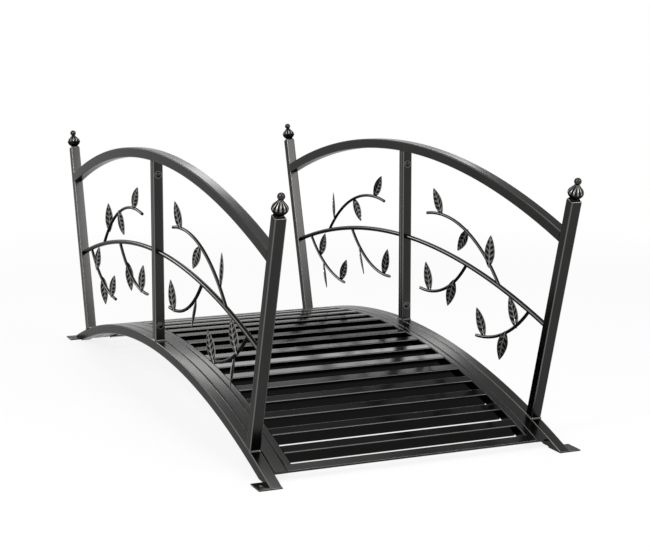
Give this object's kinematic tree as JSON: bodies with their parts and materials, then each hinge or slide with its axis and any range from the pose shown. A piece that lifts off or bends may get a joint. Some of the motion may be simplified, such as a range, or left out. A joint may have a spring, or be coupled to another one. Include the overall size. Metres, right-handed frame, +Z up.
{
  "type": "metal garden bridge",
  "caption": "Small arched garden footbridge in black powder-coated steel, with a slatted deck, bowed handrails, vine-and-leaf railings and onion finials on the end posts.",
  "frame": {"origin": "middle of the bridge, on the ground under the foot plates", "axes": "+X along the bridge towards the end nearest in the picture, +Y across it, +Z up"},
  "size_m": [1.6024, 0.714, 0.587],
  "materials": {
    "frame_steel": "satin",
    "deck_steel": "satin",
    "vine_steel": "satin",
    "finial_steel": "satin"
  },
  "bodies": {
    "root": {"side_arch_near_left": "frame_steel", "end_post_near_left": "frame_steel", "centre_post_near_left": "frame_steel", "handrail_near_left": "frame_steel", "mid_rod_near_left": "vine_steel", "upper_vine_near_left": "vine_steel", "inner_vine_near_left": "vine_steel", "outer_vine_near_left": "vine_steel", "finial_near_left": "finial_steel", "foot_plate_near_left": "frame_steel", "side_arch_near_right": "frame_steel", "end_post_near_right": "frame_steel", "centre_post_near_right": "frame_steel", "handrail_near_right": "frame_steel", "mid_rod_near_right": "vine_steel", "upper_vine_near_right": "vine_steel", "inner_vine_near_right": "vine_steel", "outer_vine_near_right": "vine_steel", "finial_near_right": "finial_steel", "foot_plate_near_right": "frame_steel", "side_arch_far_left": "frame_steel", "end_post_far_left": "frame_steel", "centre_post_far_left": "frame_steel", "handrail_far_left": "frame_steel", "mid_rod_far_left": "vine_steel", "upper_vine_far_left": "vine_steel", "inner_vine_far_left": "vine_steel", "outer_vine_far_left": "vine_steel", "finial_far_left": "finial_steel", "foot_plate_far_left": "frame_steel", "side_arch_far_right": "frame_steel", "end_post_far_right": "frame_steel", "centre_post_far_right": "frame_steel", "handrail_far_right": "frame_steel", "mid_rod_far_right": "vine_steel", "upper_vine_far_right": "vine_steel", "inner_vine_far_right": "vine_steel", "outer_vine_far_right": "vine_steel", "finial_far_right": "finial_steel", "foot_plate_far_right": "frame_steel", "deck_slats_near": "deck_steel", "deck_slats_far": "deck_steel", "deck_end_bar_near": "frame_steel", "deck_end_bar_far": "frame_steel", "deck_side_left": "frame_steel", "deck_side_right": "frame_steel", "deck_edge_left": "frame_steel", "deck_edge_right": "frame_steel"}
  },
  "joints": []
}
